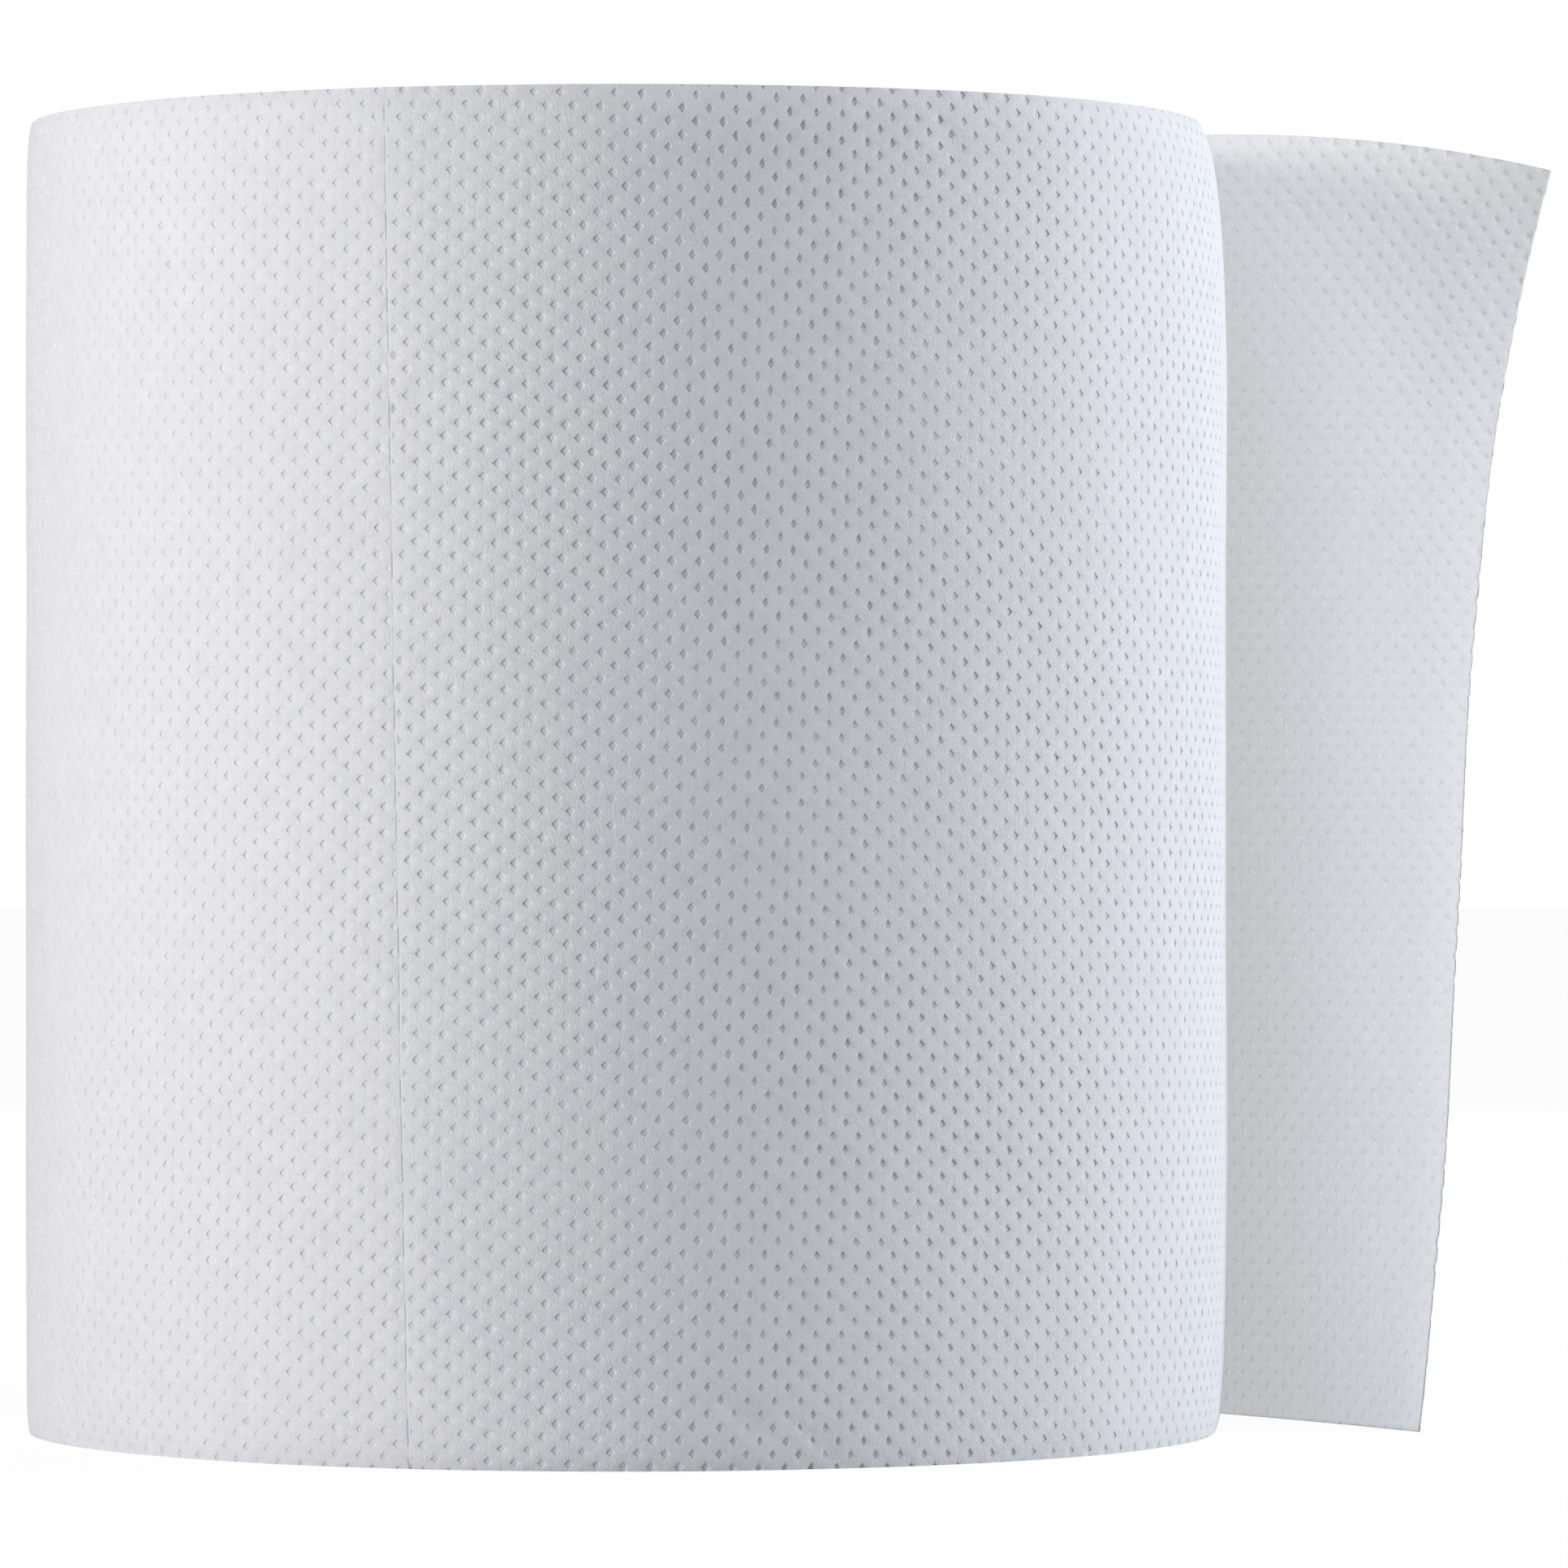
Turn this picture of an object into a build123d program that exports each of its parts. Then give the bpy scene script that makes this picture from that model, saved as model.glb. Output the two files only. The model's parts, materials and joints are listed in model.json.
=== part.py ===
from build123d import *
import os
from math import atan2, cos, degrees, radians, sin

# Wound roll, millimetres and degrees, standing on one end with its axis on Z
roll_height = 200.0
roll_radius = 92.5
sheet_thickness = 0.5
leave_angle = 40.5

# Cardboard core, with the paper wound straight onto it
core_radius = 30.0
core_wall = 1.5

# Turns as they show on both end faces, in coarse steps
turn_pitch = 6.5
groove_width = 0.8
groove_depth = 0.6

# Loose end of the outermost turn, from the line where it leaves the roll to its free edge
tail_reach = 88.0
tail_foot_turn = -8.8
tail_head_turn = 25.9
tail_curl_power = 4.1
tail_section_count = 6
tail_head_droop = 8.0

# Perforations across the web, one line for each sheet, scored into the outermost turn
sheet_length = 212.8
score_width = 0.4
score_depth = 0.3
perforation_count = 3
perforation_lean = 3.8

# Directions at the line where the loose end leaves: outwards, and along the sheet
outwards = Vector(cos(radians(leave_angle)), sin(radians(leave_angle)))
along = Vector(sin(radians(leave_angle)), -cos(radians(leave_angle)))
up = Vector(0, 0, 1)


# Centre and radius of one half turn of a spiral that closes in by pitch in each full turn
def half_turn(start_radius, pitch, number):
    side = 1 if number % 2 == 0 else -1
    centre = outwards * (side * pitch / 4)
    return centre, start_radius - pitch / 4 - number * pitch / 2


# Angle at which one half turn starts, counterclockwise from the leave line
def half_turn_start(number):
    return leave_angle + 180 * (number % 2)


# Length and turn of the loose end at a height above the base, its free edge along the perforations
def tail_shape(height):
    share = height / roll_height
    reach = tail_reach + perforation_lean * (share - 0.5)
    head_curl = tail_head_turn * share**tail_curl_power
    foot_curl = tail_foot_turn * (1 - share) ** tail_curl_power
    return reach, head_curl + foot_curl


# Both faces of the loose end at one height, as two arcs that leave the roll in line with it
def tail_section(height):
    reach, turn = tail_shape(height)
    outer_start = outwards * roll_radius
    outer_end = outer_start + along.rotate(Axis.Z, turn / 2) * reach
    inner_start = outwards * (roll_radius - sheet_thickness)
    inner_end = outer_end - outwards.rotate(Axis.Z, turn) * sheet_thickness
    with BuildSketch(Plane.XY.offset(height)) as section:
        with BuildLine():
            TangentArc(outer_start, outer_end, tangent=along)
            Line(outer_end, inner_end)
            TangentArc(inner_start, inner_end, tangent=along)
            Line(inner_start, outer_start)
        make_face()
    return section.sketch


# Angles of the perforations at mid height, counted back along the web from the free edge
perforation_angles = []
for sheet in range(1, perforation_count + 1):
    wound_length = sheet * sheet_length - tail_reach
    perforation_angles.append(leave_angle + degrees(wound_length / roll_radius))

# The paper: every wound turn and the loose end, one web and so one solid
with BuildPart() as towel_web:
    # Loose end, flat at mid height, curling in at its foot and away from the roll at its head
    tail_heights = [roll_height * n / (tail_section_count - 1) for n in range(tail_section_count)]
    loft([tail_section(height) for height in tail_heights])

    # Head of the loose end, drooping towards its free corner
    droop_plane = Plane(origin=outwards * roll_radius + up * roll_height, x_dir=along, z_dir=outwards)
    with BuildSketch(droop_plane):
        with BuildLine():
            droop_end = (tail_reach * 1.1, -tail_head_droop * 1.1)
            droop = TangentArc((0, 0), droop_end, tangent=(1, 0))
            Polyline(droop @ 0, (0, tail_head_droop), (droop_end[0], tail_head_droop), droop @ 1)
        make_face()
    extrude(amount=tail_reach, both=True, mode=Mode.SUBTRACT)

    # Wound body, stepping in by one thickness where the loose end leaves it
    with BuildSketch(Plane.XY):
        with BuildLine():
            first_centre, first_radius = half_turn(roll_radius, sheet_thickness, 0)
            second_centre, second_radius = half_turn(roll_radius, sheet_thickness, 1)
            first_half = CenterArc(first_centre, first_radius, half_turn_start(0), 180)
            second_half = CenterArc(second_centre, second_radius, half_turn_start(1), 180)
            Line(second_half @ 1, first_half @ 0)
        make_face()
        Circle(core_radius, mode=Mode.SUBTRACT)
    extrude(amount=roll_height)

    # Edges of the turns, a spiral groove of half rings in each end face
    spiral_start = roll_radius - sheet_thickness - groove_width
    groove_span = spiral_start - core_radius - groove_width
    half_turn_count = int(groove_span / (turn_pitch / 2))
    for face_height, inward in ((0, 1), (roll_height, -1)):
        for number in range(half_turn_count):
            centre, radius = half_turn(spiral_start, turn_pitch, number)
            start_direction = outwards * (1 if number % 2 == 0 else -1)
            groove_plane = Plane(
                origin=centre + up * face_height,
                x_dir=start_direction,
                z_dir=start_direction.cross(up),
            )
            with BuildSketch(groove_plane):
                with BuildLine():
                    Polyline(
                        (radius - groove_width / 2, 0),
                        (radius + groove_width / 2, 0),
                        (radius, inward * groove_depth),
                        close=True,
                    )
                make_face()
            revolve(axis=Axis(centre, up), revolution_arc=180, mode=Mode.SUBTRACT)

    # Perforations, each a score that leans as the web was cut
    lean_angle = degrees(atan2(perforation_lean, roll_height))
    score_places = []
    for angle in perforation_angles:
        foot = Vector(cos(radians(angle)), sin(radians(angle))) * roll_radius
        facing = Location(foot + up * roll_height / 2, (0, 0, angle))
        score_places.append(facing * Location((0, 0, 0), (lean_angle, 0, 0)))
    with Locations(score_places):
        Box(2 * score_depth, score_width, 1.1 * roll_height, mode=Mode.SUBTRACT)

# The cardboard tube that the web is wound on
with BuildPart() as core_tube:
    with BuildSketch(Plane.XY):
        Circle(core_radius)
        Circle(core_radius - core_wall, mode=Mode.SUBTRACT)
    extrude(amount=roll_height)

os.makedirs("parts", exist_ok=True)
towel_web.part.label = "towel_web"
export_step(towel_web.part, "parts/towel_web.step")
core_tube.part.label = "core_tube"
export_step(core_tube.part, "parts/core_tube.step")
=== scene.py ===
import json
import logging
import math
from collections.abc import Callable, Iterator, Sequence
from contextlib import contextmanager
from dataclasses import dataclass, field
from enum import Enum

import bmesh
import bpy
import numpy as np
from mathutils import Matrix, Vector

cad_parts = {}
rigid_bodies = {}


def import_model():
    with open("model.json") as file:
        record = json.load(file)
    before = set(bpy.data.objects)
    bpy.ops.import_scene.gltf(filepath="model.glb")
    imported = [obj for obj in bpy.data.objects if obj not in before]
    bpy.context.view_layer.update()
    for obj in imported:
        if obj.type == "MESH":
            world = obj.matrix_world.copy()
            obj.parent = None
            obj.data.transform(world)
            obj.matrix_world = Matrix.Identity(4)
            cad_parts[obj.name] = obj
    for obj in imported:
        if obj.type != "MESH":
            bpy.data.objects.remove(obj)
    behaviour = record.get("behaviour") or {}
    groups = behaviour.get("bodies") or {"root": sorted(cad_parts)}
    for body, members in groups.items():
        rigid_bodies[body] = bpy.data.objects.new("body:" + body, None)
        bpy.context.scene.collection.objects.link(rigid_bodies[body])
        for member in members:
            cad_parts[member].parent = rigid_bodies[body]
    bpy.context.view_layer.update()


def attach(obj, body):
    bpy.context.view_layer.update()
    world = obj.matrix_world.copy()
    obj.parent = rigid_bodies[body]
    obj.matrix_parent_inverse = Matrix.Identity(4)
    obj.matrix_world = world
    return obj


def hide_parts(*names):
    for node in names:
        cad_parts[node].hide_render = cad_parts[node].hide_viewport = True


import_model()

LOG = logging.getLogger("paper_towel_roll")
MM = 0.001
Mesh, Object = bpy.types.Mesh, bpy.types.Object
Material, Collection = bpy.types.Material, bpy.types.Collection
Array = np.ndarray
Colour = tuple[float, float, float]


def arithmetic(operation: str, reflected: bool = False) -> Callable[["Signal", "Signal | float"], "Signal"]:
    """An operator that adds one Math node.

    Args:
        operation: The node's operation.
        reflected: Whether the other value comes first, as in 1 - mask.

    Returns:
        The method for the operator.
    """

    def apply(self: "Signal", other: "Signal | float") -> "Signal":
        first, second = (other, self) if reflected else (self, other)
        return self.graph.node("ShaderNodeMath", {"operation": operation}, {0: first, 1: second})[0]

    return apply


@dataclass(frozen=True)
class Signal:
    """One node socket, which can be used in arithmetic as a number can."""

    graph: "Graph"
    socket: bpy.types.NodeSocket

    __add__, __radd__ = arithmetic("ADD"), arithmetic("ADD", reflected=True)
    __sub__, __rsub__ = arithmetic("SUBTRACT"), arithmetic("SUBTRACT", reflected=True)
    __mul__, __rmul__ = arithmetic("MULTIPLY"), arithmetic("MULTIPLY", reflected=True)
    __truediv__, __rtruediv__ = arithmetic("DIVIDE"), arithmetic("DIVIDE", reflected=True)
    __pow__, __rpow__ = arithmetic("POWER"), arithmetic("POWER", reflected=True)

    def size(self) -> "Signal":
        """The value without its sign."""
        return self.graph.node("ShaderNodeMath", {"operation": "ABSOLUTE"}, {0: self})[0]

    def fraction(self) -> "Signal":
        """The part after the decimal point."""
        return self.graph.node("ShaderNodeMath", {"operation": "FRACT"}, {0: self})[0]

    def ramp(self, low: float, high: float) -> "Signal":
        """Goes smoothly from 0 at low to 1 at high."""
        settings = {"interpolation_type": "SMOOTHSTEP"}
        return self.graph.node("ShaderNodeMapRange", settings, {0: self, 1: low, 2: high, 3: 0.0, 4: 1.0})[0]


@dataclass
class Graph:
    """A node tree that is written as calls and expressions."""

    tree: bpy.types.NodeTree

    def node(self, kind: str, settings: dict | None = None, inputs: dict | None = None) -> list[Signal]:
        """Adds a node, sets it up, and then feeds its sockets.

        Args:
            kind: The node's type, such as ShaderNodeTexNoise.
            settings: Its properties; "stops" gives a colour ramp's positions and colours.
            inputs: A value, a Signal or a list of Signals for each socket, by name or number.

        Returns:
            The node's outputs, in order.
        """
        made = self.tree.nodes.new(kind)
        for name, value in (settings or {}).items():
            if name == "stops":
                ramp = made.color_ramp
                while len(ramp.elements) < len(value):
                    ramp.elements.new(1.0)
                for element, (position, colour) in zip(ramp.elements, value):
                    element.position = position
                    element.color = (*colour, 1.0)
            else:
                setattr(made, name, value)
        for key, value in (inputs or {}).items():
            for one in value if isinstance(value, list) else [value]:
                if isinstance(one, Signal):
                    self.tree.links.new(one.socket, made.inputs[key])
                else:
                    made.inputs[key].default_value = one
        return [Signal(self, socket) for socket in made.outputs]

    def blend(self, factor: Signal | float, first: Signal | Colour, second: Signal | Colour) -> Signal:
        """Mixes two colours.

        Args:
            factor: 0 for the first colour and 1 for the second.
            first: A colour or a colour socket.
            second: A colour or a colour socket.

        Returns:
            The mixed colour.
        """
        ends = [value if isinstance(value, Signal) else (*value, 1.0) for value in (first, second)]
        return self.node("ShaderNodeMix", {"data_type": "RGBA"}, {0: factor, 6: ends[0], 7: ends[1]})[2]

    def noise(self, place: Signal, scale: float, detail: float = 2.0, rough: float = 0.5) -> Signal:
        """Reads a noise texture.

        Args:
            place: The coordinates it is read at.
            scale: Its scale in those coordinates.
            detail: How many finer layers it has.
            rough: How strong the finer layers are.

        Returns:
            A value from 0 to 1.
        """
        inputs = {"Vector": place, "Scale": scale, "Detail": detail, "Roughness": rough}
        return self.node("ShaderNodeTexNoise", None, inputs)[0]


def fresh_graph(owner: Material | bpy.types.World) -> Graph:
    """Empties the node tree of a material or world and wraps it."""
    owner.use_nodes = True
    owner.node_tree.nodes.clear()
    return Graph(owner.node_tree)


class ShapeTree(Graph):
    """A Geometry Nodes tree with named inputs that is run once and gives a plain mesh."""

    def __init__(self, name: str) -> None:
        """Makes a tree of this name with its geometry sockets."""
        super().__init__(bpy.data.node_groups.new(name, "GeometryNodeTree"))
        self.tree.interface.new_socket("Geometry", in_out="INPUT", socket_type="NodeSocketGeometry")
        self.tree.interface.new_socket("Geometry", in_out="OUTPUT", socket_type="NodeSocketGeometry")
        self.entry = self.tree.nodes.new("NodeGroupInput")
        self.values: dict[str, object] = {}

    def given(self, name: str, kind: str, value: object) -> Signal:
        """Adds a named input to the tree.

        Args:
            name: The input's name.
            kind: Its socket type, without the NodeSocket in front.
            value: What the modifier gives it.

        Returns:
            The input as a socket inside the tree.
        """
        item = self.tree.interface.new_socket(name, in_out="INPUT", socket_type=f"NodeSocket{kind}")
        self.values[item.identifier] = value
        return Signal(self, self.entry.outputs[name])

    def scatter(self, points: Signal, cells: Collection, seed: int, reach: float) -> Signal:
        """Puts a cell, picked at random, on each point and joins the cells where they meet.

        Args:
            points: The geometry whose points get a cell.
            cells: The cells to pick from.
            seed: Picks them.
            reach: Points nearer to each other than this are merged.

        Returns:
            The joined cells.
        """
        held = self.given("Cells", "Collection", cells)
        choice = self.given("Seed", "Int", seed)
        limits = {4: 0, 5: len(cells.objects) - 1, "Seed": choice}
        picked = self.node("FunctionNodeRandomValue", {"data_type": "INT"}, limits)[2]
        source = {"Collection": held, "Separate Children": True, "Reset Children": True}
        children = self.node("GeometryNodeCollectionInfo", None, source)[0]
        spread = {"Points": points, "Instance": children, "Pick Instance": True, "Instance Index": picked}
        placed = self.node("GeometryNodeInstanceOnPoints", None, spread)[0]
        real = self.node("GeometryNodeRealizeInstances", None, {"Geometry": placed})[0]
        return self.node("GeometryNodeMergeByDistance", None, {"Geometry": real, "Distance": reach})[0]

    def run(self, shape: Signal, material: Material) -> Mesh:
        """Ends the tree, runs it on an empty mesh and takes the result.

        Args:
            shape: The geometry that the tree has made.
            material: The finish that all of it gets.

        Returns:
            The result as a mesh with no modifier.
        """
        finish = self.given("Finish", "Material", material)
        real = self.node("GeometryNodeRealizeInstances", None, {"Geometry": shape})[0]
        done = self.node("GeometryNodeSetMaterial", None, {"Geometry": real, "Material": finish})[0]
        leave = self.tree.nodes.new("NodeGroupOutput")
        self.tree.links.new(done.socket, leave.inputs[0])
        holder = bpy.data.objects.new("holder", bpy.data.meshes.new("holder"))
        bpy.context.scene.collection.objects.link(holder)
        modifier = holder.modifiers.new("shape", "NODES")
        modifier.node_group = self.tree
        for identifier, value in self.values.items():
            modifier[identifier] = value
        seen = holder.evaluated_get(bpy.context.evaluated_depsgraph_get())
        mesh = bpy.data.meshes.new_from_object(seen)
        holder.modifiers.remove(modifier)
        bpy.data.objects.remove(holder)
        bpy.data.node_groups.remove(self.tree)
        return mesh


def smooth(share: Array) -> Array:
    """Goes from 0 to 1 with the share, level at both ends."""
    share = np.clip(share, 0.0, 1.0)
    return share * share * (3.0 - 2.0 * share)


@contextmanager
def editing(mesh: Mesh) -> Iterator[bmesh.types.BMesh]:
    """Opens a mesh for edits and writes it back at the end of the block."""
    shell = bmesh.new()
    shell.from_mesh(mesh)
    yield shell
    shell.to_mesh(mesh)
    shell.free()


def new_group(name: str) -> Collection:
    """Makes a collection for cells and links it into the scene."""
    group = bpy.data.collections.new(name)
    bpy.context.scene.collection.children.link(group)
    return group


def add_cell(group: Collection, name: str, points: list, faces: list, marks: list) -> Mesh:
    """Adds a smooth cell to a group.

    Args:
        group: The group.
        name: The cell's name.
        points: Its vertices.
        faces: Its faces.
        marks: How far each vertex is darkened, from 0 to 1, for the compressed paper's tone and painted
            shade.

    Returns:
        The cell's mesh.
    """
    mesh = bpy.data.meshes.new(name)
    mesh.from_pydata(points, [], faces)
    mesh.shade_smooth()
    mesh.attributes.new("pressed", "FLOAT", "POINT").data.foreach_set("value", marks)
    group.objects.link(bpy.data.objects.new(name, mesh))
    return mesh


def drop_group(group: Collection) -> None:
    """Removes a group of cells with their meshes."""
    for cell in list(group.objects):
        mesh = cell.data
        bpy.data.objects.remove(cell)
        bpy.data.meshes.remove(mesh)
    bpy.data.collections.remove(group)


def ring_faces(first: int, steps: int, rings: int, inward: bool = False, closed: bool = False) -> list:
    """Faces between rings of vertices that follow each other.

    Args:
        first: The first ring's first vertex.
        steps: Vertices in each ring.
        rings: How many rings there are.
        inward: Whether the faces look inwards.
        closed: Whether the last ring joins the first.

    Returns:
        The faces.
    """
    faces = []
    for ring in range(rings if closed else rings - 1):
        low, high = first + ring * steps, first + (ring + 1) % rings * steps
        for n in range(steps):
            after = (n + 1) % steps
            face = (low + n, low + after, high + after, high + n)
            faces.append(face[::-1] if inward else face)
    return faces


def points_of(mesh: Mesh) -> Array:
    """The mesh's vertices as an array with one row each."""
    flat = np.empty(len(mesh.vertices) * 3, np.float64)
    mesh.vertices.foreach_get("co", flat)
    return flat.reshape(-1, 3)


def move_points(mesh: Mesh, places: Array) -> None:
    """Puts the mesh's vertices at new places, given in millimetres."""
    mesh.vertices.foreach_set("co", (places * MM).astype(np.float32).ravel())
    mesh.update()


def join_meshes(name: str, meshes: Sequence[Mesh]) -> Mesh:
    """Puts several meshes into one, keeping their attributes and materials.

    Args:
        name: The new mesh's name.
        meshes: The meshes, all with the same first material.

    Returns:
        One mesh; the others are removed.
    """
    whole = bmesh.new()
    for mesh in meshes:
        whole.from_mesh(mesh)
    joined = bpy.data.meshes.new(name)
    whole.to_mesh(joined)
    whole.free()
    for material in meshes[0].materials:
        joined.materials.append(material)
    for mesh in meshes:
        bpy.data.meshes.remove(mesh)
    return joined


def add_piece(name: str, mesh: Mesh) -> Object:
    """Links a mesh into the scene as an object at the origin."""
    piece = bpy.data.objects.new(name, mesh)
    bpy.context.scene.collection.objects.link(piece)
    return piece


@dataclass(frozen=True)
class Crease:
    """A faint line pressed into the outermost turn, from one place on the roll to another.

    The places are an angle round the roll in degrees and a height in millimetres.
    """

    start: tuple[float, float]
    end: tuple[float, float]
    depth: float
    width: float

    def push(self, angle: Array, up: Array, radius: float) -> Array:
        """How far the surface goes in at each point, in millimetres."""
        first = np.array([math.radians(self.start[0]) * radius, self.start[1]])
        last = np.array([math.radians(self.end[0]) * radius, self.end[1]])
        run = last - first
        length = float(np.hypot(*run))
        offset = np.stack([angle * radius - first[0], up - first[1]], axis=-1)
        share = np.clip(offset @ run / length**2, 0.0, 1.0)
        nearest = offset - share[..., None] * run
        distance = np.hypot(nearest[..., 0], nearest[..., 1])
        taper = np.sin(np.pi * np.clip(share, 0.04, 0.96))
        return self.depth * taper * np.exp(-((distance / self.width) ** 2))


@dataclass(frozen=True)
class Web:
    """The paper as one long strip, and where each part of it lies on the roll.

    A place on the web is its distance along from the line where the loose end leaves, which is
    negative on the loose end, its height up the roll, and its lift off the outer face, in millimetres.
    """

    height: float = 200.0
    radius: float = 92.5
    thickness: float = 0.5
    leave_angle: float = math.radians(40.5)
    reach: float = 88.0
    foot_turn: float = math.radians(-8.8)
    head_turn: float = math.radians(25.9)
    curl_power: float = 4.1
    droop: float = 8.0
    droop_power: float = 2.8
    head_rise: float = 2.1
    rise_reach: float = 45.0
    sheet_length: float = 212.8
    perforation_lean: float = 3.8
    edge_wave: float = 0.7
    fold: float = 0.32
    fold_reach: float = 7.0
    fold_at_foot: float = 0.35
    perforations: int = 3
    slit_pitch: float = 5.45
    slack_angle: float = math.radians(10.0)
    slack_spread: float = math.radians(60.0)
    slack_head: float = 3.8
    slack_foot: float = 1.5
    slack_fall: tuple[float, float] = (14.0, 12.0)
    rim_round: float = 1.1
    round_fall: tuple[float, float] = (2.5, 2.0)
    settle: float = 42.0
    creases: tuple[Crease, ...] = (
        Crease((220.4, 201.0), (225.6, 166.0), 0.55, 0.9),
        Crease((249.4, 153.0), (254.8, 157.6), 0.35, 0.7),
        Crease((233.2, 20.0), (234.6, -2.0), 0.45, 0.9),
        Crease((277.0, 13.5), (287.5, 0.5), 0.35, 0.8),
        Crease((285.0, 9.0), (292.0, -1.0), 0.3, 0.8),
        Crease((299.0, 202.0), (303.0, 186.0), 0.3, 1.1),
    )

    def sheet_end(self, number: int, up: Array | float) -> Array | float:
        """Where a perforation crosses the web at a height; number 0 is the free edge."""
        return number * self.sheet_length - self.reach - self.perforation_lean * (up / self.height - 0.5)

    def around(self, along: Array) -> Array:
        """The angle round the roll, in radians, of a distance along the web."""
        return self.leave_angle + along / self.radius

    def slack(self, along: Array, up: Array) -> Array:
        """How far the outermost turn is drawn in and rounded near the two rims."""
        angle = self.around(along)
        swing = (angle - self.slack_angle + math.pi) % (2.0 * math.pi) - math.pi
        near = np.cos(np.clip(swing / self.slack_spread, -1.0, 1.0) * math.pi / 2.0) ** 2
        from_top = np.clip(self.height - up, 0.0, None)
        from_foot = np.clip(up, 0.0, None)
        drawn = self.slack_head * np.exp(-from_top / self.slack_fall[0])
        drawn += self.slack_foot * np.exp(-from_foot / self.slack_fall[1])
        rounded = np.exp(-from_top / self.round_fall[0]) + 0.6 * np.exp(-from_foot / self.round_fall[1])
        rounded *= self.rim_round
        rounded *= 1.0 + 0.25 * np.sin(3.0 * angle + 0.8) + 0.15 * np.sin(7.0 * angle)
        return (drawn * near + rounded) * smooth(along / self.settle)

    def ripple(self, along: Array, up: Array) -> Array:
        """The roll's slow unevenness."""
        angle = along / self.radius
        waves = 0.13 * np.sin(5.0 * angle + up / 61.0 + 0.7) + 0.09 * np.sin(9.0 * angle - up / 37.0 + 2.1)
        waves += 0.06 * np.sin(17.0 * angle + up / 21.0) + 0.05 * np.sin(up / 9.5 + 4.0 * angle)
        return waves * np.clip(along / 25.0, 0.0, 1.0)

    def ridge(self, along: Array, up: Array) -> Array:
        """How far the web stands up in a blunt ridge along each perforation, more towards its head."""
        lift = np.zeros_like(along)
        share = self.fold_at_foot + (1.0 - self.fold_at_foot) * np.clip(up / self.height, 0.0, 1.0)
        for number in range(1, self.perforations + 1):
            away = np.abs(along - self.sheet_end(number, up))
            lift += self.fold * share * np.exp(-away / self.fold_reach)
        return lift

    def rise(self, along: Array, up: Array) -> Array:
        """How far the web's head stands above the roll, at the loose end and just behind it."""
        fade = smooth(1.0 - along / self.rise_reach)
        return self.head_rise * (np.clip(up, 0.0, None) / self.height) ** 4 * fade

    def wound(self, along: Array, up: Array, lift: Array) -> Array:
        """Places of points on the wound part.

        Args:
            along: Distance along the web from the leave line.
            up: Height up the roll.
            lift: Distance off the web's outer face.

        Returns:
            One row of x, y and z in millimetres for each point.
        """
        angle = self.around(along)
        radius = self.radius - self.thickness * along / (2.0 * math.pi * self.radius)
        radius = radius + lift - self.slack(along, up) + self.ripple(along, up) + self.ridge(along, up)
        for crease in self.creases:
            radius -= crease.push(angle, up, self.radius)
        height = np.clip(up + self.rise(along, up), 0.0, None)
        return np.stack([radius * np.cos(angle), radius * np.sin(angle), height], axis=-1)

    def hung(self, along: Array, up: Array, lift: Array) -> Array:
        """Places of points on the loose end, with the same arguments and result as wound."""
        share = np.clip(up / self.height, 0.0, 1.0)
        reach = self.reach + self.perforation_lean * (share - 0.5)
        reach = reach - self.edge_wave * np.cos(2.0 * math.pi * (up - 107.0) / 104.0)
        turn = self.head_turn * share**self.curl_power + self.foot_turn * (1.0 - share) ** self.curl_power
        part = np.clip(-along / reach, 0.0, None)
        bent = part * turn
        chord = reach * part * np.sinc(bent / 2.0 / math.pi) / np.sinc(turn / 2.0 / math.pi)
        facing = self.leave_angle + bent
        heading = self.leave_angle - math.pi / 2.0 + bent / 2.0
        x = self.radius * math.cos(self.leave_angle) + chord * np.cos(heading)
        y = self.radius * math.sin(self.leave_angle) + chord * np.sin(heading)
        waves = 0.35 * np.sin(along / 13.0 + up / 31.0) + 0.12 * np.sin(up / 7.0 - along / 11.0)
        lift = lift + waves * part
        sunk = self.droop * part**self.droop_power * share**3
        height = np.clip(up + self.rise(along, up) - sunk, 0.0, None)
        return np.stack([x + lift * np.cos(facing), y + lift * np.sin(facing), height], axis=-1)

    def place(self, points: Array) -> Array:
        """Lays flat points of the web on the roll, or on the loose end where they are past the leave line."""
        along, up, lift = points.T
        on_roll = self.wound(np.maximum(along, 0.0), up, lift)
        loose = self.hung(np.minimum(along, 0.0), up, lift)
        return np.where((along >= 0.0)[:, None], on_roll, loose)


class Side(Enum):
    """The two faces of the paper."""

    FACE = "face"
    REVERSE = "reverse"


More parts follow.
